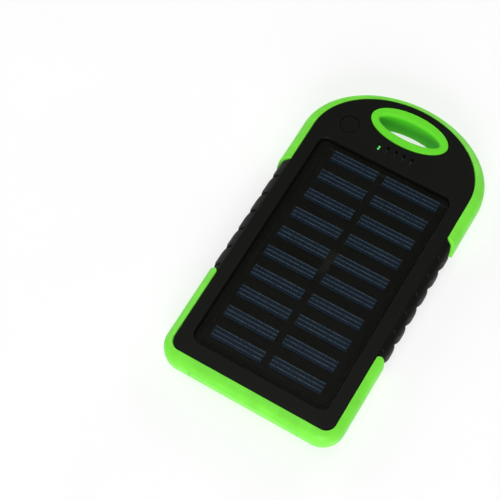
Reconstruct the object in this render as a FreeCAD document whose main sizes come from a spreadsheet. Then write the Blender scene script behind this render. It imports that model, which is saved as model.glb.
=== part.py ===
"""Solar phone charger: a handheld battery pack with a solar face, a carrying eye and rubber bumpers.

Frame: +X across the width, +Y towards the carrying eye, +Z out of the solar face.
The origin is under the middle of the charger, on the plane it lies on. Lengths are millimetres.
"""
import FreeCAD
import Part
import math
import os
import re
import Sketcher

V = FreeCAD.Vector
doc = FreeCAD.newDocument("Charger")

# ---------------------------------------------------------------- sizes
SIZES = {
    # black case, seen from the front: straight sides, rounded foot, elliptical top
    "case_half": 34.1, "case_rise": 25.6, "case_spring": 42.0, "case_end": -65.9,
    "case_corner": 4.2, "case_top": 13.6, "parting": 7.8, "wall": 1.8,
    # outer surface of the bumpers and grips
    "upper_half": 38.5, "lower_half": 37.8, "peak_half": 37.75, "valley_half": 36.35,
    "outer_rise": 28.8, "outer_end": -70.8, "outer_corner": 9.0,
    "round_front": 3.7, "round_back": 7.0,
    "bumper_gap": 0.1, "groove_wide": 0.3, "groove_deep": 0.9,
    # grips between the bumpers
    "grip_high": 19.8, "grip_low": -32.6, "grip_pitch": 8.72, "grip_first": 16.35,
    "grip_lean": 28.0, "grip_radius": 6.0, "grip_front": 4.8, "grip_back": 7.4,
    "crease_radius": 0.6, "crease_out": 0.2, "grip_gap": 0.12, "end_lean": 38.0,
    "bumper_nose": 1.8,
    # cavity
    "front_roof": 11.6, "panel_roof": 9.8, "floor_top": 1.6,
    # solar window
    "window_half": 28.8, "window_low": -59.9, "window_high": 39.1, "window_corner": 3.6,
    "window_floor": 11.0, "window_lip": 0.22, "panel_round": 3.2,
    "gap_left": 0.8, "gap_right": 0.3, "gap_top": 0.65, "gap_foot": 0.3,
    "adhesive_thick": 0.3, "substrate_thick": 0.8, "cell_thick": 0.2, "laminate_thick": 0.65,
    "adhesive_width": 3.0,
    "cell_high": 4.9, "cell_pitch": 9.6, "cell_top_row": 33.8, "cell_inner": 1.7,
    # carrying eye
    "eye_y": 57.5, "eye_ring_a": 16.6, "eye_ring_b": 7.65, "eye_tube_a": 15.2, "eye_tube_b": 6.1,
    "eye_hole_a": 13.2, "eye_hole_b": 4.1, "eye_proud": 0.3, "eye_flange": 1.2, "eye_groove": 0.35,
    "eye_boss_a": 17.6, "eye_boss_b": 8.1,
    # button, status lights, torch
    "button_x": -21.9, "button_y": 48.6, "button_hole": 3.95, "button_disc": 3.7,
    "button_flange": 4.6, "button_stem": 1.3, "button_under": 0.05,
    "slot_pitch": 3.5, "slot_y": 45.7, "slot_wide": 1.0, "slot_long": 3.1,
    "finger_wide": 0.5, "finger_long": 2.2, "finger_sunk": 0.9,
    "torch_x": 20.5, "torch_y": 45.2, "torch_hole": 3.5,
    # boards
    "pcb_thick": 1.0, "indicator_z": 6.4, "board_z": 2.6,
    "board_half": 26.0, "board_low": -63.2, "board_high": -41.6,
    # battery
    "cell_pack_wide": 54.0, "cell_pack_long": 69.0, "cell_pack_thick": 7.2,
    "cell_pack_y": -4.5, "pad_thick": 0.3,
    # sockets
    "usb_x": 13.8, "usb_wide": 13.2, "usb_tall": 5.8, "usb_deep": 14.0, "usb_mouth": -64.4,
    "micro_wide": 7.6, "micro_tall": 2.7, "micro_deep": 5.6,
    # port cover
    "flap_half": 23.0, "flap_low": 2.4, "flap_high": 11.2, "flap_corner": 2.6,
    "flap_gap": 0.24, "flap_gap_top": 0.1,
    # screws
    "screw_x": 29.9, "screw_boss": 2.5, "screw_hole": 1.15, "screw_pilot": 0.9,
    "screw_head": 1.9, "screw_head_hole": 2.15, "screw_head_thick": 1.1, "screw_sunk": 0.5,
}
SCREW_YS = (-57.4, -4.0, 35.2)

sheet = doc.addObject("Spreadsheet::Sheet", "Sizes")
for row, (alias, value) in enumerate(SIZES.items(), start=1):
    sheet.set(f"A{row}", alias)
    sheet.set(f"B{row}", str(value))
    sheet.setAlias(f"B{row}", alias)
doc.recompute()


# ---------------------------------------------------------------- helpers
def ex(value):
    """Turn a formula written with size names into an expression of the document."""
    return re.sub(r"[a-z_]+", lambda m: f"Sizes.{m[0]}" if m[0] in SIZES else m[0], str(value))


def num(value):
    """The present value of a formula written with size names."""
    text = re.sub(r"[a-z_]+", lambda m: str(SIZES[m[0]]), str(value))
    return float(FreeCAD.Units.Quantity(f"({text})").Value)


def bind(thing, **formulas):
    for prop, formula in formulas.items():
        thing.setExpression(prop.replace("__", "."), ex(formula))


def place(thing, x=0, y=0, z=0):
    bind(thing, Placement__Base__x=x, Placement__Base__y=y, Placement__Base__z=z)
    return thing


def box(name, x, y, z, dx, dy, dz):
    """Box with its low corner at x, y, z."""
    thing = doc.addObject("Part::Box", name)
    bind(thing, Length=dx, Width=dy, Height=dz)
    return place(thing, x, y, z)


def mid_box(name, x, y, z, dx, dy, dz):
    """Box centred on x and y, standing on z."""
    return box(name, f"{x} - ({dx}) / 2", f"{y} - ({dy}) / 2", z, dx, dy, dz)


def rod(name, x, y, z, r, h, turn=None):
    """Cylinder from x, y, z; turn is (axis, degrees)."""
    thing = doc.addObject("Part::Cylinder", name)
    bind(thing, Radius=r, Height=h)
    if turn:
        thing.Placement.Rotation = FreeCAD.Rotation(turn[0], turn[1])
    return place(thing, x, y, z)


def oval(name, y, z, a, b, h):
    """Elliptical column, wide in X."""
    rim = doc.addObject("Part::Ellipse", name + "Rim")
    bind(rim, MajorRadius=a, MinorRadius=b)
    column = doc.addObject("Part::Extrusion", name)
    column.Base = rim
    column.DirMode = "Custom"
    column.Dir = V(0, 0, 1)
    column.Solid = True
    bind(column, LengthFwd=h)
    return place(column, 0, y, z)


def fuse(name, parts):
    thing = doc.addObject("Part::MultiFuse", name)
    thing.Shapes = parts
    thing.Refine = True
    return thing


def cut(name, base, *tools):
    thing = doc.addObject("Part::Cut", name)
    thing.Base = base
    thing.Tool = tools[0] if len(tools) == 1 else fuse(name + "Tools", list(tools))
    thing.Refine = True
    return thing


def common(name, *parts):
    thing = doc.addObject("Part::MultiCommon", name)
    thing.Shapes = list(parts)
    thing.Refine = True
    return thing


def slab(name, half, rise, spring, end, corner, z, h):
    """Case-shaped slab: rounded foot at y = end, straight sides, elliptical top."""
    return fuse(name, [
        box(name + "Body", f"-({half})", f"{end} + {corner}", z,
            f"2 * ({half})", f"{spring} - ({end}) - {corner}", h),
        box(name + "Foot", f"-({half}) + {corner}", end, z,
            f"2 * ({half}) - 2 * {corner}", f"{corner} + 1", h),
        rod(name + "CornerL", f"-({half}) + {corner}", f"{end} + {corner}", z, corner, h),
        rod(name + "CornerR", f"{half} - {corner}", f"{end} + {corner}", z, corner, h),
        oval(name + "Top", spring, z, half, rise, h)])


def level_edges(shape, z):
    """Names of the edges that lie in the plane at height z."""
    return [f"Edge{i}" for i, e in enumerate(shape.Edges, start=1)
            if abs(e.BoundBox.ZMin - z) < 1e-4 and abs(e.BoundBox.ZMax - z) < 1e-4]


def upright_edges(shape):
    """Names of the straight edges parallel to Z."""
    return [f"Edge{i}" for i, e in enumerate(shape.Edges, start=1)
            if e.BoundBox.XLength < 1e-5 and e.BoundBox.YLength < 1e-5]


def body_on(name, base):
    body = doc.addObject("PartDesign::Body", name)
    body.BaseFeature = base
    doc.recompute()
    return body


def dress(body, kind, pick, **formulas):
    """Fillet or chamfer on the edges that pick names in the body's present shape."""
    base = body.Tip
    feature = body.newObject("PartDesign::" + kind, body.Name + kind)
    feature.Base = (base, pick(base.Shape))
    bind(feature, **formulas)
    doc.recompute()
    return body


def envelope(name, half, front, back):
    """Case-sized solid with rounded front and back edges."""
    body = body_on(name, slab(name + "Slab", half, "outer_rise", "case_spring", "outer_end",
                              "outer_corner", 0, "case_top"))
    dress(body, "Fillet", lambda s: level_edges(s, SIZES["case_top"]), Radius=front)
    return dress(body, "Fillet", lambda s: level_edges(s, 0), Radius=back)


def rounded(name, x, y, z, dx, dy, dz, corner):
    """Block centred on x and y, standing on z, with rounded upright edges."""
    body = doc.addObject("PartDesign::Body", name)
    sketch = body.newObject("Sketcher::SketchObject", name + "Outline")
    plane = [o for o in body.Origin.OriginFeatures if o.Role == "XY_Plane"][0]
    sketch.AttachmentSupport = [(plane, "")]
    sketch.MapMode = "FlatFace"
    hx, hy = num(dx) / 2, num(dy) / 2
    corners = [V(-hx, -hy, 0), V(hx, -hy, 0), V(hx, hy, 0), V(-hx, hy, 0)]
    for i in range(4):
        sketch.addGeometry(Part.LineSegment(corners[i], corners[(i + 1) % 4]), False)
    for i in range(4):
        sketch.addConstraint(Sketcher.Constraint("Coincident", i, 2, (i + 1) % 4, 1))
    for i, kind in enumerate(("Horizontal", "Vertical", "Horizontal", "Vertical")):
        sketch.addConstraint(Sketcher.Constraint(kind, i))
    sketch.addConstraint(Sketcher.Constraint("Symmetric", 0, 1, 2, 1, -1, 1))
    wide = sketch.addConstraint(Sketcher.Constraint("DistanceX", 0, 1, 0, 2, 2 * hx))
    deep = sketch.addConstraint(Sketcher.Constraint("DistanceY", 1, 1, 1, 2, 2 * hy))
    sketch.setExpression(f"Constraints[{wide}]", ex(dx))
    sketch.setExpression(f"Constraints[{deep}]", ex(dy))
    pad = body.newObject("PartDesign::Pad", name + "Pad")
    pad.Profile = sketch
    bind(pad, Length=dz)
    doc.recompute()
    dress(body, "Fillet", upright_edges, Radius=corner)
    return place(body, x, y, z)


NODES = {}


def node(name, thing):
    """Register a finished piece under the name it is exported with."""
    thing.Label = name
    NODES[name] = thing
    return thing


def mirrored(name, thing):
    """Copy of a left-hand solid on the right-hand side."""
    twin = doc.addObject("Part::Mirroring", name)
    twin.Source = thing
    twin.Base = V(0, 0, 0)
    twin.Normal = V(1, 0, 0)
    return twin


def both_sides(make):
    """Call make with the side's name and sign, for the left and the right."""
    return [make(side, sign) for side, sign in (("Left", -1), ("Right", 1))]


# ---------------------------------------------------------------- outer surfaces
upper_env = envelope("UpperEnvelope", "upper_half", "round_front", "round_back")
lower_env = envelope("LowerEnvelope", "lower_half", "round_front", "round_back")
peak_env = envelope("PeakEnvelope", "peak_half", "grip_front", "grip_back")
valley_env = envelope("ValleyEnvelope", "valley_half", "grip_front", "grip_back")


def above_grips(name, gap):
    """All that lies beyond the grips' upper end, a V with its tip on the parting plane."""
    halves = []
    for half, turn in (("Front", -SIZES["end_lean"]), ("Rear", SIZES["end_lean"] - 90)):
        block = box(f"{name}{half}", -60, f"grip_high - {gap}", "parting", 120, 90, 40)
        block.Placement.Rotation = FreeCAD.Rotation(V(1, 0, 0), turn)
        halves.append(block)
    return fuse(name, halves)


grip_plan = cut("GripPlan",
                box("GripLong", -40, "grip_low", 0, 8, "grip_high + 8 - grip_low", "case_top"),
                above_grips("GripEnd", "grip_gap"),
                rod("GripNose", "-(case_half + bumper_nose + 0.1)", "grip_low", 0,
                    "bumper_nose + 0.15", "case_top"))


def grip_scales(half, sign_z):
    """Leaning scales down the left side; the two halves meet as chevrons."""
    scales = []
    for i in range(6):
        y = f"grip_first - {i} * grip_pitch - 14 * tan(grip_lean)"
        scale = rod(f"Scale{half}{i}", "-(peak_half - grip_radius)", y,
                    f"parting - {14 * sign_z}", "grip_radius", 40)
        lean = SIZES["grip_lean"]
        turn = -lean if sign_z > 0 else 180 + lean
        scale.Placement = FreeCAD.Placement(V(0, 0, 0), FreeCAD.Rotation(V(1, 0, 0), turn))
        scales.append(scale)
    return scales


def grip_creases(half, sign_z):
    """Straight round grooves that lead the gaps between the scales over the grip's edge."""
    edge = num("grip_front" if sign_z > 0 else "grip_back")
    centre_x = -num("peak_half") + edge
    centre_z = num("case_top") - edge if sign_z > 0 else edge
    reach = edge + SIZES["crease_out"]
    slant = math.tan(math.radians(SIZES["grip_lean"])) * sign_z
    creases = []
    for i in range(7):
        y = num(f"grip_first + (0.5 - {i}) * grip_pitch")
        ends = []
        for angle in (math.radians(25), math.radians(75)):
            z = centre_z + sign_z * reach * math.cos(angle)
            ends.append(V(centre_x - reach * math.sin(angle),
                          y + (z - SIZES["parting"]) * slant, z))
        along = (ends[1] - ends[0]).normalize()
        start = ends[0] - along * 1.5
        crease = rod(f"Crease{half}{i}", start.x, start.y, start.z, "crease_radius",
                     (ends[1] - ends[0]).Length + 3)
        crease.Placement.Rotation = FreeCAD.Rotation(V(0, 0, 1), along)
        creases.append(crease)
    return creases


half_spaces = {
    "Front": ("parting", "case_top - parting"),
    "Rear": ("0", "parting"),
}


def cover_outside(half, sign_z):
    """Outer solid of one cover: the case slab with its grips, rounded like the bumpers."""
    z, h = half_spaces[half]
    level = box(f"{half}Level", -60, -90, z, 120, 180, h)
    scaled = fuse(f"{half}Scaled", [valley_env] + grip_scales(half, sign_z))
    wing = cut(f"{half}Wing", common(f"{half}WingFull", scaled, peak_env, grip_plan, level),
               *grip_creases(half, sign_z))
    core = slab(f"{half}Core", "case_half", "case_rise", "case_spring", "case_end", "case_corner",
                z, h)
    if half == "Rear":
        core = common("RearCoreRound", core, upper_env)
    return fuse(f"{half}Outside", [core, wing, mirrored(f"{half}WingRight", wing)])


def cavity(name, z, h, inset="wall"):
    return slab(name, f"case_half - {inset}", f"case_rise - {inset}", "case_spring",
                f"case_end + {inset}", "case_corner - 1.5", z, h)


def at_screws(make):
    """One piece per case screw; make gets a name suffix, x and y."""
    return [make(f"{i}{side}", f"{sign} * screw_x", y)
            for i, y in enumerate(SCREW_YS) for side, sign in (("L", -1), ("R", 1))]


def eye_column(name, a, b, z, h):
    return oval(name, "eye_y", z, a, b, h)


# ---------------------------------------------------------------- front cover
front_block = cover_outside("Front", 1)
front_hollow = cut(
    "FrontHollow",
    fuse("FrontCavity", [
        cavity("FrontLowCavity", "parting - 1", "panel_roof - parting + 1"),
        common("FrontHighCavity",
               cavity("FrontHighSlab", "parting - 1", "front_roof - parting + 1"),
               box("FrontHighArea", -40, "window_high + 1.5", 0, 80, 60, 20))]),
    eye_column("FrontEyeBoss", "eye_boss_a", "eye_boss_b", 0, 20),
    *at_screws(lambda n, x, y: rod(f"FrontBoss{n}", x, y, 0, "screw_boss", 20)),
    rod("IndicatorBossL", -12.5, 44.2, 0, 1.7, 20),
    rod("IndicatorBossR", 12.5, 44.2, 0, 1.7, 20))
window_cut = rounded("WindowCut", 0, "(window_low + window_high) / 2", "window_floor",
                     "2 * window_half", "window_high - window_low", 6, "window_corner")
slots = [mid_box(f"LightSlot{i}", f"{i - 2} * slot_pitch", "slot_y", 10, "slot_wide",
                 "slot_long", 6) for i in range(5)]
port_holes = [
    mid_box("UsbHoleL", "-usb_x", "usb_mouth", "board_z + pcb_thick - 0.1", "usb_wide + 0.3", 6,
            "usb_tall + 0.25"),
    mid_box("UsbHoleR", "usb_x", "usb_mouth", "board_z + pcb_thick - 0.1", "usb_wide + 0.3", 6,
            "usb_tall + 0.25"),
    mid_box("MicroHole", 0, "usb_mouth", "board_z + pcb_thick - 0.1", "micro_wide + 0.3", 6,
            "micro_tall + 0.25")]
front_cut = cut(
    "FrontCut", front_block, front_hollow, window_cut,
    eye_column("FrontEyeHole", "eye_tube_a + 0.1", "eye_tube_b + 0.1", 0, 20),
    eye_column("FrontEyeSeat", "eye_ring_a + eye_groove", "eye_ring_b + eye_groove",
               "case_top - eye_flange", 5),
    rod("ButtonHole", "button_x", "button_y", 9, "button_hole", 6),
    mid_box("PanelWireSlot", 10, -42, 9, 7, 2.4, 4),
    rod("IndicatorPilotL", -12.5, 44.2, 7, 0.6, 3.4),
    rod("IndicatorPilotR", 12.5, 44.2, 7, 0.6, 3.4),
    *slots, *port_holes,
    *at_screws(lambda n, x, y: rod(f"FrontPilot{n}", x, y, 7, "screw_pilot", 3.4)))
front_body = body_on("FrontCover", front_cut)


def window_rim(shape):
    """Edges of the solar window where it opens in the front face."""
    names = []
    for i, e in enumerate(shape.Edges, start=1):
        b = e.BoundBox
        flat = abs(b.ZMin - SIZES["case_top"]) < 1e-4 and b.ZLength < 1e-4
        inside = b.XMin > -SIZES["window_half"] - 0.01 and b.XMax < SIZES["window_half"] + 0.01
        if flat and inside and b.YMax < SIZES["window_high"] + 0.01:
            names.append(f"Edge{i}")
    return names


dress(front_body, "Chamfer", window_rim, Size="window_lip")
node("front_cover", front_body)

# ---------------------------------------------------------------- rear cover
rear_block = cover_outside("Rear", -1)
rear_hollow = cut(
    "RearHollow",
    cavity("RearCavity", "floor_top", 20),
    eye_column("RearEyeBoss", "eye_boss_a", "eye_boss_b", 0, 20),
    *at_screws(lambda n, x, y: rod(f"RearBoss{n}", x, y, 0, "screw_boss", 20)),
    rod("BoardPostL", -23.4, -46, 0, 1.7, "board_z"),
    rod("BoardPostR", 23.4, -46, 0, 1.7, "board_z"),
    rod("BoardPostFrontL", -23.4, -60.4, 0, 1.7, "board_z"),
    rod("BoardPostFrontR", 23.4, -60.4, 0, 1.7, "board_z"),
    rod("TorchBoss", "torch_x", "torch_y", 0, "torch_hole + 1", 2.6))
seal_groove = cut("SealGroove",
                  cavity("SealOuter", "parting - 0.8", 4, "0.5"),
                  cavity("SealInner", "parting - 2", 8, "1.3"))
rear_cover = cut(
    "RearCover", rear_block, rear_hollow, seal_groove,
    eye_column("RearEyeHole", "eye_tube_a + 0.1", "eye_tube_b + 0.1", -1, 20),
    eye_column("RearEyeSeat", "eye_ring_a + 0.2", "eye_ring_b + 0.2", -3, "eye_flange + 3.3"),
    rounded("LabelRecess", 0, -8, -1, 46, 66, 1.3, 3),
    rod("TorchHole", "torch_x", "torch_y", -1, "torch_hole", 8),
    rod("BoardPilotL", -23.4, -46, 0.9, 0.6, 4),
    rod("BoardPilotR", 23.4, -46, 0.9, 0.6, 4),
    *port_holes,
    *at_screws(lambda n, x, y: rod(f"RearScrewHole{n}", x, y, -1, "screw_hole", 20)),
    *at_screws(lambda n, x, y: rod(f"RearHeadHole{n}", x, y, -1, "screw_head_hole",
                                   "1 + screw_sunk + screw_head_thick + 0.05")))
node("rear_cover", rear_cover)

# ---------------------------------------------------------------- bumpers and eye liner
bumper_bore = fuse("BumperBore", [
    slab("BumperInside", "case_half + bumper_gap", "case_rise + bumper_gap", "case_spring",
         "case_end - bumper_gap", "case_corner", -5, 30),
    slab("BumperGroove", "case_half + groove_wide", "case_rise + groove_wide", "case_spring",
         "case_end - groove_wide", "case_corner", "case_top - groove_deep", 5)])
upper_rough = cut("UpperBumper", common("UpperArch", upper_env, above_grips("UpperArea", 0)),
                  bumper_bore)
node("upper_bumper", upper_rough)

lower_area = fuse("LowerArea", [
    box("LowerBlock", -60, -90, -1, 120, "90 + grip_low - 0.12", 30),
    *both_sides(lambda side, sign: rod(
        f"LowerNose{side}", f"{sign} * (case_half + bumper_nose + 0.1)", "grip_low", -1,
        "bumper_nose", 30))])
flap_z = "(flap_low + flap_high) / 2"


def flap_window(name, grow, grow_top, y, dy):
    """Rounded opening in the foot end, seen along Y, grown less at its top edge."""
    body = rounded(name, 0, y, f"{flap_z} + ({grow_top} - {grow}) / 2",
                   f"2 * flap_half + 2 * {grow}",
                   f"flap_high - flap_low + {grow} + {grow_top}", dy, f"flap_corner + {grow}")
    body.Placement.Rotation = FreeCAD.Rotation(V(1, 0, 0), 90)
    return body


lower_bumper = cut("LowerBumper", common("LowerFoot", lower_env, lower_area), bumper_bore,
                   flap_window("FlapOpening", "flap_gap", "flap_gap_top", -60, 20))
node("lower_bumper", lower_bumper)

liner_rough = cut(
    "LinerRough",
    fuse("LinerSolid", [
        eye_column("LinerTube", "eye_tube_a", "eye_tube_b", 0.3, "case_top - 0.4"),
        eye_column("LinerFront", "eye_ring_a", "eye_ring_b", "case_top - eye_flange + 0.05",
                   "eye_flange + eye_proud - 0.05"),
        eye_column("LinerBack", "eye_ring_a", "eye_ring_b", 0.15, "eye_flange + 0.1")]),
    eye_column("LinerHole", "eye_hole_a", "eye_hole_b", -1, 20))
liner = body_on("EyeLiner", liner_rough)


def rim_edges(shape, z, inner):
    """Edges of the liner at height z, on its hole or on its outer rim."""
    limit = SIZES["eye_hole_a"] + 0.5
    return [n for n in level_edges(shape, z)
            if (shape.getElement(n).BoundBox.XMax < limit) == inner]


liner_top = SIZES["case_top"] + SIZES["eye_proud"]
for z, inner, r in ((liner_top, False, 0.45), (liner_top, True, 1.1), (0.15, True, 1.0),
                    (0.15, False, 0.3)):
    dress(liner, "Fillet", lambda s: rim_edges(s, z, inner), Radius=r)
node("eye_liner", liner)

# ---------------------------------------------------------------- port cover
flap_skin = common("FlapSkin", lower_env, flap_window("FlapOutline", 0, 0, -68.4, 20))
flap_plug = mid_box("FlapPlug", 0, -67.9, "board_z + pcb_thick + 0.4", 40, 1.4,
                    "usb_tall - 0.8")
port_cover = fuse("PortCover", [flap_skin, flap_plug])
node("port_cover", port_cover)

# ---------------------------------------------------------------- seal
node("case_seal", cut("CaseSeal",
                      cavity("SealStripOuter", "parting - 0.75", 0.75, "0.6"),
                      cavity("SealStripInner", "parting - 2", 8, "1.2"),
                      mid_box("SealPortGap", 0, -65, 0, 44, 4, 20)))

# ---------------------------------------------------------------- solar panel
panel_x = "(gap_left - gap_right) / 2"
panel_y = "(window_low + gap_foot + window_high - gap_top) / 2"
panel_wide = "(2 * window_half - gap_left - gap_right)"
panel_long = "(window_high - gap_top - window_low - gap_foot)"
tape_outer = rounded("TapeOuter", panel_x, panel_y, "window_floor", panel_wide, panel_long,
                     "adhesive_thick", "panel_round")
tape_inner = rounded("TapeInner", panel_x, panel_y, "window_floor - 1",
                     f"{panel_wide} - 2 * adhesive_width", f"{panel_long} - 2 * adhesive_width",
                     4, 1.5)
node("panel_adhesive", cut("PanelAdhesive", tape_outer, tape_inner))
substrate_z = "window_floor + adhesive_thick"
node("solar_substrate", rounded("SolarSubstrate", panel_x, panel_y, substrate_z, panel_wide,
                                panel_long, "substrate_thick", "panel_round"))
cells_z = "window_floor + adhesive_thick + substrate_thick"


def cell_strips(name, grow, thick):
    """Two columns of narrow cells, laid a little unevenly: the upper rows drift towards +X."""
    strips = []
    for i in range(10):
        drift = max(0, 6 - i) ** 1.4
        y = f"cell_top_row - {i} * cell_pitch"
        y_right = f"{y} + {i} * 0.06"
        left = -23.3 + 0.18 * drift
        right = 23.2 + 0.14 * drift
        strips.append(box(f"{name}L{i}", f"{left:.2f} - {grow}",
                          f"{y} - cell_high / 2 - {grow}", cells_z,
                          f"{-left:.2f} - cell_inner + 2 * {grow} - 0.1",
                          f"cell_high + 2 * {grow}", thick))
        strips.append(box(f"{name}R{i}", f"cell_inner - 0.2 - {grow}",
                          f"{y_right} - cell_high / 2 - {grow}", cells_z,
                          f"{right:.2f} - cell_inner + 0.2 + 2 * {grow}",
                          f"cell_high + 2 * {grow}", thick))
    return strips


node("solar_cells", fuse("SolarCells", cell_strips("Cell", 0, "cell_thick")))
node("solar_laminate", cut(
    "SolarLaminate",
    rounded("LaminateSheet", panel_x, panel_y, cells_z, panel_wide, panel_long,
            "laminate_thick", "panel_round"),
    fuse("CellPockets", cell_strips("Pocket", 0.02, "cell_thick + 0.01"))))

# ---------------------------------------------------------------- button and switch
switch_z = "indicator_z + pcb_thick"
button = fuse("PowerButton", [
    rod("ButtonDisc", "button_x", "button_y", "front_roof - 0.6", "button_disc",
        "case_top - front_roof + 0.5"),
    rod("ButtonFlange", "button_x", "button_y", "front_roof - 0.7", "button_flange", 0.6),
    rod("ButtonStem", "button_x", "button_y", f"{switch_z} + 2.6 + button_under",
        "button_stem", 1)])
node("power_button", button)
node("switch_body", cut("SwitchBody",
                        rounded("SwitchCase", "button_x", "button_y", switch_z, 6, 6, 2, 0.4),
                        rod("SwitchBore", "button_x", "button_y", f"{switch_z} + 0.6", 1.8, 5)))
node("switch_plunger", rod("SwitchPlunger", "button_x", "button_y", f"{switch_z} + 1.1", 1.72,
                           1.5))

# ---------------------------------------------------------------- status lights
guide_bar = rounded("GuideBar", 0, "slot_y", 8.5, "4 * slot_pitch + 3", 4.4, 1.0, 0.6)
guide_fingers = [box(f"GuideFinger{i}", f"{i - 2} * slot_pitch - slot_wide / 2 + 0.05",
                     "slot_y - slot_long / 2 + 0.05", 9.2, "finger_wide", "finger_long",
                     "case_top - finger_sunk - 9.2")
                 for i in range(5)]
node("light_guide", fuse("LightGuide", [guide_bar] + guide_fingers))
node("status_leds", fuse("StatusLeds", [
    mid_box(f"StatusLed{i}", f"{i - 2} * slot_pitch", "slot_y", switch_z, 1.0, 1.8, 0.8)
    for i in range(5)]))
indicator_board = cut(
    "IndicatorBoard",
    fuse("IndicatorOutline", [
        box("IndicatorMain", -27, 41.2, "indicator_z", 54, 7.4, "pcb_thick"),
        box("IndicatorTab", -26, 41.2, "indicator_z", 8, 11.6, "pcb_thick")]),
    eye_column("IndicatorEyeRelief", "eye_boss_a + 0.3", "eye_boss_b + 0.3", 0, 20),
    rod("IndicatorHoleL", -12.5, 44.2, 5, 0.8, 4),
    rod("IndicatorHoleR", 12.5, 44.2, 5, 0.8, 4))
node("indicator_board", indicator_board)

# ---------------------------------------------------------------- torch
node("torch_led", fuse("TorchLed", [
    rod("TorchLedBase", "torch_x", "torch_y", "indicator_z - 1", 2.8, 1),
    rod("TorchLedBody", "torch_x", "torch_y", "indicator_z - 3.4", 2.5, 3)]))
node("torch_lens", cut("TorchLens",
                       rod("TorchLensDisc", "torch_x", "torch_y", 0.25, "torch_hole - 0.1", 2.1),
                       rod("TorchLensCup", "torch_x", "torch_y", 1.1, "torch_hole - 0.9", 3)))

# ---------------------------------------------------------------- main board
board = cut("MainBoard",
            rounded("BoardSheet", 0, "(board_low + board_high) / 2", "board_z",
                    "2 * board_half", "board_high - board_low", "pcb_thick", 1),
            rod("BoardHoleL", -23.4, -46, 0, 0.9, 9),
            rod("BoardHoleR", 23.4, -46, 0, 0.9, 9))
node("main_board", board)
deck = "board_z + pcb_thick"


def socket_shell(name, x, wide, deep, tall, skin, back):
    """Folded metal shell of a socket, open towards -Y."""
    return cut(name,
               mid_box(name + "Outer", x, f"usb_mouth + {deep} / 2", deck, wide, deep, tall),
               mid_box(name + "Inner", x, f"usb_mouth + {deep} / 2 - {back}",
                       f"{deck} + {skin}", f"{wide} - 2 * {skin}", deep,
                       f"{tall} - 2 * {skin}"))


node("usb_shells", fuse("UsbShells", [
    socket_shell("UsbShellL", "-usb_x", "usb_wide", "usb_deep", "usb_tall", 0.35, 0.4),
    socket_shell("UsbShellR", "usb_x", "usb_wide", "usb_deep", "usb_tall", 0.35, 0.4)]))


def usb_insert(side, sign):
    """Back block and tongue of one socket."""
    x = f"{sign} * usb_x"
    return fuse(f"UsbInsert{side}", [
        mid_box(f"UsbTongue{side}", x, "usb_mouth + 6.65", f"{deck} + 3.3", 11.1, 9.7, 1.84),
        mid_box(f"UsbBlock{side}", x, "usb_mouth + 12.3", f"{deck} + 0.4", 12.4, 2.4, 5.0)])


node("usb_inserts", fuse("UsbInserts", both_sides(usb_insert)))
node("usb_contacts", fuse("UsbContacts", [
    mid_box(f"Contact{side}{i}", f"{sign} * usb_x + {(i - 1.5) * 2.25}", "usb_mouth + 5.95",
            f"{deck} + 3.12", 1.0, 6.9, 0.18)
    for side, sign in (("L", -1), ("R", 1)) for i in range(4)]))
node("micro_shell", socket_shell("MicroShell", 0, "micro_wide", "micro_deep", "micro_tall",
                                 0.3, 0.4))
node("micro_tongue", fuse("MicroTongue", [
    mid_box("MicroBlade", 0, "usb_mouth + 2.6", f"{deck} + 1.5", 3.7, 3.6, 0.6),
    mid_box("MicroBlock", 0, "usb_mouth + 4.6", f"{deck} + 0.35", 6.8, 1.0, 2.0)]))
node("inductor", rounded("Inductor", 0.5, -47.2, deck, 7, 7, 3.2, 1.4))
node("power_chips", fuse("PowerChips", [
    mid_box("ChargeChip", -9.2, -45.8, deck, 5, 4, 1.4),
    mid_box("BoostChip", 9.8, -45.6, deck, 4, 4, 0.9)]))
node("capacitors", fuse("Capacitors", [
    rod(f"Capacitor{i}", x, -46.6, deck, 2.0, 5.2)
    for i, x in enumerate((-17.4, 17.4))]))
node("board_screws", fuse("BoardScrews", [
    fuse(f"BoardScrew{side}", [
        rod(f"BoardScrewHead{side}", x, -46, deck, 1.4, 0.8),
        rod(f"BoardScrewShank{side}", x, -46, "board_z - 1.6", 0.58, "pcb_thick + 1.8")])
    for side, x in (("L", -23.4), ("R", 23.4))]))
node("indicator_screws", fuse("IndicatorScrews", [
    fuse(f"IndicatorScrew{side}", [
        rod(f"IndicatorScrewHead{side}", x, 44.2, "indicator_z - 0.8", 1.4, 0.8),
        rod(f"IndicatorScrewShank{side}", x, 44.2, "indicator_z - 0.2", 0.58,
            "pcb_thick + 2.8")])
    for side, x in (("L", -12.5), ("R", 12.5))]))

# ---------------------------------------------------------------- battery
battery_z = "floor_top + pad_thick"
node("battery_pad", rounded("BatteryPad", 0, "cell_pack_y", "floor_top", 44, 58, "pad_thick", 2))
battery = rounded("BatteryCell", 0, "cell_pack_y", battery_z, "cell_pack_wide",
                  "cell_pack_long", "cell_pack_thick", 2.2)
dress(battery, "Fillet", lambda s: level_edges(s, SIZES["cell_pack_thick"]) + level_edges(s, 0),
      Radius=1.2)
node("battery_cell", battery)
node("battery_board", mid_box("BatteryBoard", 0, "cell_pack_y - cell_pack_long / 2 - 0.7", 4.6,
                              30, 1.0, 3.2))


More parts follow.
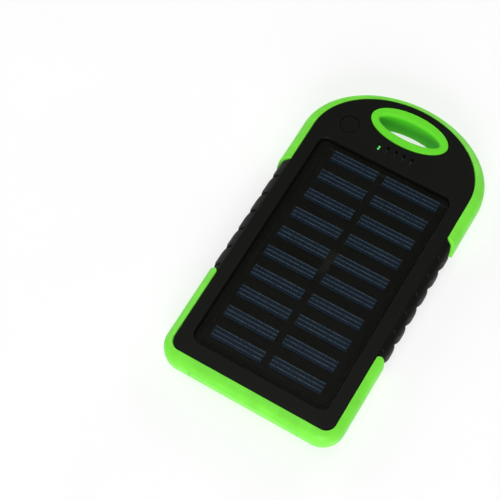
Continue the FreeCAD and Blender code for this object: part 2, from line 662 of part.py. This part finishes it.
# ---------------------------------------------------------------- wires
def wire(name, points, r, bend=0.9):
    """Round wire along straight runs joined by arcs of radius bend."""
    points = [V(*p) for p in points]
    edges, start = [], points[0]
    for corner, after in zip(points[1:-1], points[2:]):
        inward = (corner - start).normalize()
        outward = (after - corner).normalize()
        half_turn = inward.getAngle(outward) / 2
        reach = bend * math.tan(half_turn)
        arc_start, arc_end = corner - inward * reach, corner + outward * reach
        to_centre = (outward - inward).normalize()
        middle = corner + to_centre * (bend / math.cos(half_turn) - bend)
        edges += [Part.LineSegment(start, arc_start).toShape(),
                  Part.Arc(arc_start, middle, arc_end).toShape()]
        start = arc_end
    edges.append(Part.LineSegment(start, points[-1]).toShape())
    profile = Part.Wire([Part.Circle(points[0], points[1] - points[0], r).toShape()])
    thing = doc.addObject("Part::Feature", name)
    thing.Shape = Part.Wire(edges).makePipeShell([profile], True, True)
    return thing


deck_z = num(deck)
for label, sign in (("battery_wire_red", -1), ("battery_wire_black", 1)):
    node(label, wire(label.replace("_", ""), [
        (sign * 5.2, -40.22, 6.6), (sign * 5.2, -42.6, 6.6),
        (sign * 5.2, -42.6, deck_z + 0.02)], 0.5))
for label, x in (("panel_wire_red", 8.4), ("panel_wire_black", 11.6)):
    node(label, wire(label.replace("_", ""), [
        (x, -42.0, num(substrate_z) - 0.02), (x, -42.0, 8.8), (x + 3.4, -43.0, 6.8),
        (x + 3.4, -43.0, deck_z + 0.02)], 0.42))

FLEX_PATH = [(42.2, 7.54), (41.0, 7.6), (39.8, 9.0), (38.8, 9.4), (-39.6, 9.4), (-40.8, 9.0),
             (-41.8, 6.4), (-42.3, deck_z + 0.5), (-43.2, deck_z + 0.14)]
flex_edge = Part.makePolygon([V(-2.5, y, z) for y, z in FLEX_PATH])
flex_face = flex_edge.makeOffset2D(0.12, 0, True, True)
flex_strip = doc.addObject("Part::Feature", "IndicatorFlex")
flex_strip.Shape = flex_face.extrude(V(5, 0, 0))
node("indicator_flex", flex_strip)


# ---------------------------------------------------------------- case screws
def case_screw(n, x, y):
    """Pan head screw with a cross recess, driven from behind."""
    z = "screw_sunk"
    shank = rod(f"CaseShank{n}", x, y, f"{z} + 0.9", "screw_pilot - 0.03", 8.4)
    head = rod(f"CaseHead{n}", x, y, z, "screw_head", "screw_head_thick")
    return cut(f"CaseScrew{n}", fuse(f"CaseScrewSolid{n}", [shank, head]),
               mid_box(f"CaseCrossA{n}", x, y, f"{z} - 1", 2.2, 0.5, 1.7),
               mid_box(f"CaseCrossB{n}", x, y, f"{z} - 1", 0.5, 2.2, 1.7))


node("case_screws", fuse("CaseScrews", at_screws(case_screw)))

# ---------------------------------------------------------------- checks and export
doc.recompute()
for thing in doc.Objects:
    if "Invalid" in thing.State or "Error" in thing.State:
        raise RuntimeError(f"{thing.Name} ({thing.Label}) did not compute: {thing.State}")
os.makedirs("parts", exist_ok=True)
for name, thing in NODES.items():
    shape = thing.Shape
    if shape.isNull() or not shape.isValid() or not shape.Solids:
        raise RuntimeError(f"{name} has no valid solid")
    shape.exportStep(f"parts/{name}.step")
    b = shape.BoundBox
    print(f"{name:20s} solids {len(shape.Solids):3d} volume {shape.Volume:9.2f} "
          f"x {b.XMin:.2f} {b.XMax:.2f} y {b.YMin:.2f} {b.YMax:.2f} z {b.ZMin:.2f} {b.ZMax:.2f}")
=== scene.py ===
"""Looks of the solar phone charger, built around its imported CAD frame."""
import math

import bpy
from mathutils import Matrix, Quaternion, Vector


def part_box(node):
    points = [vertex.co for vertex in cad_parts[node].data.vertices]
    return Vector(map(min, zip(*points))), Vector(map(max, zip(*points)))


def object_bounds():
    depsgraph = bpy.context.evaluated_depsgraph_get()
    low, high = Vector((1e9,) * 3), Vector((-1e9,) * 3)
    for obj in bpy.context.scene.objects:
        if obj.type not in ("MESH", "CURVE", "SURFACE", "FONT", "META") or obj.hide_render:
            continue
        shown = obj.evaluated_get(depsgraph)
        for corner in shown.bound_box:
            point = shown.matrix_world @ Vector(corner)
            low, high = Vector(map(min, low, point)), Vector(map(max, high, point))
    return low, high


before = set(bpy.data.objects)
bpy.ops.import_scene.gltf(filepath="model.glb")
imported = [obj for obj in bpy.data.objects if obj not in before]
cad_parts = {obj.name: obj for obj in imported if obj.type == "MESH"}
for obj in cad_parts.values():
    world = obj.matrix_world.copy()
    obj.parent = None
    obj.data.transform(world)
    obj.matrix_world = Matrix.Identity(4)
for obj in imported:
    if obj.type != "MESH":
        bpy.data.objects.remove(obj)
cad_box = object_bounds()
MM = 0.001

# ---------------------------------------------------------------- driving values
CAMERA_AT = Vector((0.10569, -0.21398, 0.52294))
LOOK_AT = Vector((-0.0297, -0.0154, 0.0068))
CAMERA_ROLL = math.radians(-3.83)
LENS = 106.7                    # focal length in millimetres
SENSOR_WIDTH = 36.0

LIGHTS = (                      # name, place, side of the square in metres, watts
    ("Top", (-0.10, -0.02, 1.10), 0.35, 1.8),
    ("Left", (-1.00, 0.20, 0.50), 0.7, 4.0),
    ("Back", (0.20, 1.10, 0.50), 0.7, 5.2),
    ("Front", (0.45, -1.05, 0.60), 0.7, 12.0),
)
WORLD_LIGHT = 0.14
FLOOR_GLOW = 0.70               # keeps the floor near white under soft light
FLOOR_DROP = 0.02 * MM          # the floor lies just under the charger

EDGE_ROUND = 0.14 * MM          # moulded edges catch a thin line of light
CELL_PITCH = 9.60 * MM          # from one row of cells to the next, in the left column
PITCH_STEP = -0.06 * MM         # the right column's rows sit this much closer
FINGER_PITCH = 1.65 * MM        # between the pale lines on a cell
HATCH_PITCH = 0.85 * MM         # between the fine lines across a cell
FINGER_PLACE = 0.19             # of the way from one pale line to the next
LIT_SLOT_X = -5.5 * MM          # the light guide glows left of here
RIM_DEPTH = 0.6 * MM            # the eye liner keeps its unshaded rim colour down to here
WALL_DEPTH = 2.4 * MM           # and has its painted-shade colour, and its full dullness, from here down
GRAIN = 0.16 * MM               # size of the moulded surfaces' grain
GRAIN_RELIEF = 0.006 * MM       # and its depth

BLACK = (0.0052, 0.0060, 0.0043)
GREEN = (0.205, 0.860, 0.054)
RIM_GREEN = (0.155, 0.820, 0.032)
# painted shade: the lime darkened as if shadowed deep inside the eye's hole
SHADED_WALL_GREEN = (0.078, 0.610, 0.004)


# ---------------------------------------------------------------- shader helpers
class Shader:
    """A material's node tree with a Principled shader, built node by node."""

    def __init__(self, name, **constants):
        self.material = bpy.data.materials.new(name)
        self.material.use_nodes = True
        self.tree = self.material.node_tree
        self.surface = self.tree.nodes["Principled BSDF"]
        self.output = self.tree.nodes["Material Output"]
        self.set(self.surface, constants)
        self.place = self.node("TexCoord").outputs["Object"]

    def set(self, node, values):
        for key, value in values.items():
            socket = node.inputs[key if isinstance(key, int) else key.replace("_", " ")]
            if isinstance(value, bpy.types.NodeSocket):
                self.tree.links.new(value, socket)
            elif socket.type == "RGBA" and len(value) == 3:
                socket.default_value = (*value, 1.0)
            else:
                socket.default_value = value
        return node

    def node(self, kind, values=None, **options):
        made = self.tree.nodes.new("ShaderNode" + kind)
        for key, value in options.items():
            setattr(made, key, value)
        return self.set(made, values or {})

    def math(self, operation, *terms):
        values = {i: term for i, term in enumerate(terms)}
        return self.node("Math", values, operation=operation).outputs[0]

    def noise(self, size, detail=3.0, stretch=None):
        """Noise whose grains are about size metres across."""
        where = self.place
        if stretch:
            where = self.node("Mapping", {"Vector": self.place, "Scale": stretch}).outputs[0]
        return self.node("TexNoise", {"Vector": where, "Scale": 1.0 / size,
                                      "Detail": detail}).outputs["Fac"]

    def ramp(self, factor, low, high):
        """Factor remapped so that low becomes 0 and high becomes 1."""
        return self.node("MapRange", {"Value": factor, "From_Min": low,
                                      "From_Max": high}).outputs["Result"]

    def mix(self, factor, first, second):
        made = self.node("Mix", data_type="RGBA")
        self.set(made, {0: factor, 6: first, 7: second})
        return made.outputs[2]

    def relief(self, height, depth, edge=EDGE_ROUND):
        """Surface relief of the given depth in metres, on softly rounded edges."""
        rounded = self.node("Bevel", {"Radius": edge}, samples=4).outputs["Normal"]
        bump = self.node("Bump", {"Height": height, "Distance": depth, "Strength": 1.0,
                                  "Normal": rounded})
        return bump.outputs["Normal"]

    def finish(self, **links):
        self.set(self.surface, links)
        return self.material


def tinted(shader, colour, size, spread):
    """Colour that drifts a little lighter and darker over the surface."""
    dark = tuple(c * (1 - spread) for c in colour)
    light = tuple(min(1.0, c * (1 + spread)) for c in colour)
    return shader.mix(shader.ramp(shader.noise(size), 0.35, 0.65), dark, light)


def moulded(name, colour, roughness, depth=GRAIN_RELIEF, spread=0.06, **extra):
    """Moulded plastic or rubber: faint mottling, fine grain, uneven gloss."""
    shader = Shader(name, **extra)
    gloss = shader.ramp(shader.noise(1.6 * MM, 5.0), 0.0, 1.0)
    rough = shader.math("MULTIPLY_ADD", gloss, 0.10, roughness - 0.05)
    return shader.finish(
        Base_Color=tinted(shader, colour, 9 * MM, spread), Roughness=rough,
        Normal=shader.relief(shader.noise(GRAIN, 2.0), depth))


def metal(name, colour, roughness, grain=(1.0, 1.0, 14.0)):
    """Plated or drawn metal with a faint grain."""
    shader = Shader(name, Metallic=1.0)
    lines = shader.noise(0.35 * MM, 4.0, stretch=grain)
    rough = shader.math("MULTIPLY_ADD", lines, 0.16, roughness - 0.08)
    return shader.finish(Base_Color=tinted(shader, colour, 3 * MM, 0.08), Roughness=rough,
                         Normal=shader.relief(lines, 0.004 * MM, 0.06 * MM))


# ---------------------------------------------------------------- solar panel
def cell_material():
    """Dark blue silicon with fine cross lines and three pale conductors on every strip."""
    shader = Shader("Solar cells", Roughness=0.34, Specular_IOR_Level=0.06)
    low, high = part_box("solar_cells")
    split = shader.node("SeparateXYZ", {"Vector": shader.place}).outputs
    right = shader.math("GREATER_THAN", split["X"], (low.x + high.x) / 2)
    pitch = shader.math("MULTIPLY_ADD", right, PITCH_STEP, CELL_PITCH)
    rows = shader.math("DIVIDE", shader.math("SUBTRACT", high.y, split["Y"]), pitch)
    down = shader.math("MULTIPLY", shader.math("FRACT", rows), pitch)
    step = shader.math("FRACT", shader.math("DIVIDE", down, FINGER_PITCH))
    offset = shader.math("ABSOLUTE", shader.math("SUBTRACT", step, FINGER_PLACE))
    line = shader.ramp(offset, 0.13, 0.05)
    wear = shader.ramp(shader.noise(0.5 * MM, 4.0, stretch=(1.0, 0.2, 1.0)), 0.25, 0.6)
    line = shader.math("MULTIPLY", line, wear)
    slant = shader.math("MULTIPLY_ADD", split["Y"], 0.45, split["X"])
    hatch = shader.math("PINGPONG", shader.math("DIVIDE", slant, HATCH_PITCH), 0.5)
    grain = shader.noise(0.42 * MM, 2.0, stretch=(1.0, 0.2, 1.0))
    cross = shader.math("MULTIPLY_ADD", shader.math("SUBTRACT", grain, 0.5), 0.7, hatch)
    silicon = shader.mix(shader.ramp(cross, 0.08, 0.38), (0.0030, 0.0078, 0.0170),
                         (0.0090, 0.0225, 0.0420))
    colour = shader.mix(line, silicon, (0.085, 0.110, 0.120))
    return shader.finish(Base_Color=colour)


def substrate_material():
    """Near-black board with fine warm speckles."""
    shader = Shader("Panel board", Roughness=0.46, Specular_IOR_Level=0.08)
    grains = shader.ramp(shader.noise(0.30 * MM, 4.0), 0.42, 0.68)
    patches = shader.ramp(shader.noise(2.6 * MM, 2.0), 0.3, 0.7)
    fleck = shader.math("MULTIPLY", grains, shader.math("MULTIPLY_ADD", patches, 0.5, 0.5))
    return shader.finish(Base_Color=shader.mix(fleck, (0.0080, 0.0094, 0.0066),
                                               (0.0128, 0.0140, 0.0100)),
                         Normal=shader.relief(grains, 0.004 * MM))


def resin_material():
    """Clear satin resin over the cells: see-through, with its own soft gloss."""
    shader = Shader("Panel resin")
    ripple = shader.relief(shader.noise(0.5 * MM, 3.0), 0.004 * MM, 0.1 * MM)
    clear = shader.node("BsdfTransparent", {"Color": (0.96, 0.96, 0.95)}).outputs[0]
    gloss = shader.node("BsdfGlossy", {"Color": (1.0, 1.0, 1.0), "Roughness": 0.36,
                                       "Normal": ripple}).outputs[0]
    facing = shader.node("Fresnel", {"IOR": 1.14, "Normal": ripple}).outputs[0]
    behind = shader.node("NewGeometry").outputs["Backfacing"]
    share = shader.math("MULTIPLY", facing, shader.math("SUBTRACT", 1.0, behind))
    mixed = shader.node("MixShader", {0: share, 1: clear, 2: gloss}).outputs[0]
    shader.set(shader.output, {"Surface": mixed})
    return shader.material


# ---------------------------------------------------------------- lights
def guide_material():
    """Milky light pipe; the finger in the first slot glows green, and its base colour is
    painted lighter green as light from that glow.
    """
    shader = Shader("Light guide", Roughness=0.35, Specular_IOR_Level=0.2)
    x = shader.node("SeparateXYZ", {"Vector": shader.place}).outputs["X"]
    lit = shader.math("LESS_THAN", x, LIT_SLOT_X)
    hot = shader.ramp(shader.noise(1.1 * MM, 1.0), 0.40, 0.62)
    glow = shader.mix(hot, (0.004, 0.14, 0.010), (0.20, 1.00, 0.20))
    # painted light: the first slot's finger has a bright green base colour standing in for
    # its lamp's light, besides its real glow
    body_with_painted_glow = shader.mix(lit, (0.055, 0.085, 0.070), (0.06, 0.40, 0.08))
    return shader.finish(Base_Color=body_with_painted_glow, Emission_Color=glow,
                         Emission_Strength=shader.math("MULTIPLY", lit, 0.85))


def liner_material():
    """Lime lining of the eye: bright on its rims; down the inside of the hole painted shade
    darkens its colour and the surface grows duller.
    """
    shader = Shader("Lime liner", Specular_IOR_Level=0.12)
    low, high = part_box("eye_liner")
    z = shader.node("SeparateXYZ", {"Vector": shader.place}).outputs["Z"]
    depth = shader.math("SUBTRACT", high.z, z)
    # the colour side of this ramp is painted shade deepening down the hole; the roughness
    # side is real dullness
    wall_shade_and_dullness = shader.ramp(depth, RIM_DEPTH, WALL_DEPTH)
    return shader.finish(Base_Color=shader.mix(wall_shade_and_dullness, RIM_GREEN, SHADED_WALL_GREEN),
                         Roughness=shader.math("MULTIPLY_ADD", wall_shade_and_dullness, 0.15, 0.42),
                         Normal=shader.relief(shader.noise(GRAIN, 2.0), GRAIN_RELIEF))


def lamp_material():
    """Status lamps; the first one is on."""
    shader = Shader("Status lamps", Roughness=0.3)
    x = shader.node("SeparateXYZ", {"Vector": shader.place}).outputs["X"]
    lit = shader.math("LESS_THAN", x, LIT_SLOT_X)
    frost = shader.noise(0.2 * MM)
    colour = shader.mix(frost, (0.55, 0.60, 0.50), (0.75, 0.78, 0.66))
    return shader.finish(Base_Color=colour, Emission_Color=(0.05, 1.0, 0.15),
                         Emission_Strength=shader.math("MULTIPLY", lit, 2.0))


def clear_material(name, tint, roughness):
    """Clear moulded plastic."""
    shader = Shader(name, IOR=1.49, Transmission_Weight=0.85)
    swirl = shader.noise(0.8 * MM)
    return shader.finish(
        Base_Color=shader.mix(swirl, tint, tuple(min(1.0, c * 1.06) for c in tint)),
        Roughness=shader.math("MULTIPLY_ADD", swirl, 0.08, roughness),
        Normal=shader.relief(swirl, 0.003 * MM, 0.08 * MM))


def board_material():
    """Solder mask with faint copper traces under it."""
    shader = Shader("Circuit board", Roughness=0.36)
    weave = shader.node("TexBrick", {
        "Vector": shader.place, "Scale": 1 / (2.4 * MM), "Color1": (0.010, 0.085, 0.032),
        "Color2": (0.014, 0.110, 0.042), "Mortar": (0.030, 0.180, 0.075),
        "Mortar Size": 0.05}).outputs["Color"]
    return shader.finish(Base_Color=weave,
                         Normal=shader.relief(shader.noise(0.3 * MM), 0.004 * MM, 0.05 * MM))


case_black = moulded("Soft black", BLACK, 0.42, IOR=1.22)
bumper_green = moulded("Lime rubber", GREEN, 0.42, Specular_IOR_Level=0.28)
part_black = moulded("Component black", (0.012, 0.012, 0.013), 0.45)
nickel = metal("Nickel", (0.62, 0.61, 0.59), 0.30)
dark_steel = metal("Dark screw steel", (0.16, 0.16, 0.17), 0.36)
MATERIALS = {
    "front_cover": case_black, "rear_cover": case_black, "power_button": case_black,
    "upper_bumper": bumper_green, "lower_bumper": bumper_green, "eye_liner": liner_material(),
    "port_cover": bumper_green,
    "solar_cells": cell_material(), "solar_substrate": substrate_material(),
    "solar_laminate": resin_material(),
    "light_guide": guide_material(), "status_leds": lamp_material(),
    "torch_lens": clear_material("Torch lens", (0.90, 0.92, 0.92), 0.05),
    "torch_led": clear_material("Torch lamp", (0.92, 0.90, 0.70), 0.10),
    "indicator_board": board_material(), "main_board": board_material(),
    "battery_board": board_material(),
    "switch_body": part_black, "inductor": part_black, "power_chips": part_black,
    "switch_plunger": moulded("Switch cap", (0.05, 0.05, 0.055), 0.35),
    "capacitors": metal("Capacitor can", (0.72, 0.73, 0.76), 0.25),
    "usb_shells": nickel, "micro_shell": nickel,
    "usb_inserts": moulded("Socket white", (0.78, 0.77, 0.73), 0.35),
    "micro_tongue": moulded("Socket black", (0.02, 0.02, 0.02), 0.35),
    "usb_contacts": metal("Gilt contact", (0.85, 0.62, 0.22), 0.22),
    "case_screws": dark_steel, "board_screws": nickel, "indicator_screws": nickel,
    "battery_cell": metal("Pouch foil", (0.74, 0.75, 0.78), 0.34, grain=(1.0, 1.0, 1.0)),
    "battery_pad": moulded("Foam pad", (0.02, 0.02, 0.02), 0.8, depth=0.03 * MM),
    "panel_adhesive": moulded("Panel tape", (0.015, 0.015, 0.015), 0.8, depth=0.02 * MM),
    "case_seal": moulded("Silicone seal", (0.30, 0.30, 0.31), 0.55),
    "battery_wire_red": moulded("Red wire", (0.55, 0.012, 0.010), 0.4),
    "panel_wire_red": moulded("Red wire thin", (0.55, 0.012, 0.010), 0.4),
    "battery_wire_black": moulded("Black wire", (0.010, 0.010, 0.010), 0.4),
    "panel_wire_black": moulded("Black wire thin", (0.010, 0.010, 0.010), 0.4),
    "indicator_flex": moulded("Amber flex", (0.42, 0.16, 0.02), 0.3),
}
for name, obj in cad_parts.items():
    obj.data.materials.clear()
    obj.data.materials.append(MATERIALS[name])


# ---------------------------------------------------------------- floor, light, camera
def floor():
    """Pale floor under the charger."""
    half = 3.0
    mesh = bpy.data.meshes.new("Floor")
    mesh.from_pydata([(-half, -half, 0), (half, -half, 0), (half, half, 0), (-half, half, 0)],
                     [], [(0, 1, 2, 3)])
    obj = bpy.data.objects.new("Floor", mesh)
    bpy.context.scene.collection.objects.link(obj)
    obj.location.z = cad_box[0][2] - FLOOR_DROP
    shader = Shader("Floor white", Roughness=0.9, Emission_Color=(1.0, 1.0, 1.0),
                    Emission_Strength=FLOOR_GLOW)
    paper = shader.noise(60 * MM)
    mesh.materials.append(shader.finish(Base_Color=shader.mix(paper, (0.31, 0.31, 0.31),
                                                              (0.35, 0.35, 0.35))))


def softbox(name, place, size, power):
    """Square area light aimed at the charger."""
    light = bpy.data.lights.new(name, "AREA")
    light.shape = "SQUARE"
    light.size = size
    light.energy = power
    obj = bpy.data.objects.new(name, light)
    obj.location = place
    obj.rotation_mode = "QUATERNION"
    obj.rotation_quaternion = (-Vector(place)).to_track_quat("-Z", "Y")
    bpy.context.scene.collection.objects.link(obj)


def camera():
    """Camera looking down at the face from beyond the foot end."""
    data = bpy.data.cameras.new("Camera")
    data.lens = LENS
    data.sensor_width = SENSOR_WIDTH
    data.clip_start = 0.01
    obj = bpy.data.objects.new("Camera", data)
    obj.location = CAMERA_AT
    obj.rotation_mode = "QUATERNION"
    aim = (LOOK_AT - CAMERA_AT).to_track_quat("-Z", "Y")
    obj.rotation_quaternion = aim @ Quaternion((0, 0, 1), CAMERA_ROLL)
    bpy.context.scene.collection.objects.link(obj)
    bpy.context.scene.camera = obj


floor()
for light in LIGHTS:
    softbox(*light)
camera()
world = bpy.data.worlds.new("Studio")
world.use_nodes = True
world.node_tree.nodes["Background"].inputs["Color"].default_value = (1.0, 1.0, 1.0, 1.0)
world.node_tree.nodes["Background"].inputs["Strength"].default_value = WORLD_LIGHT
bpy.context.scene.world = world
bpy.context.scene.view_settings.view_transform = "Standard"
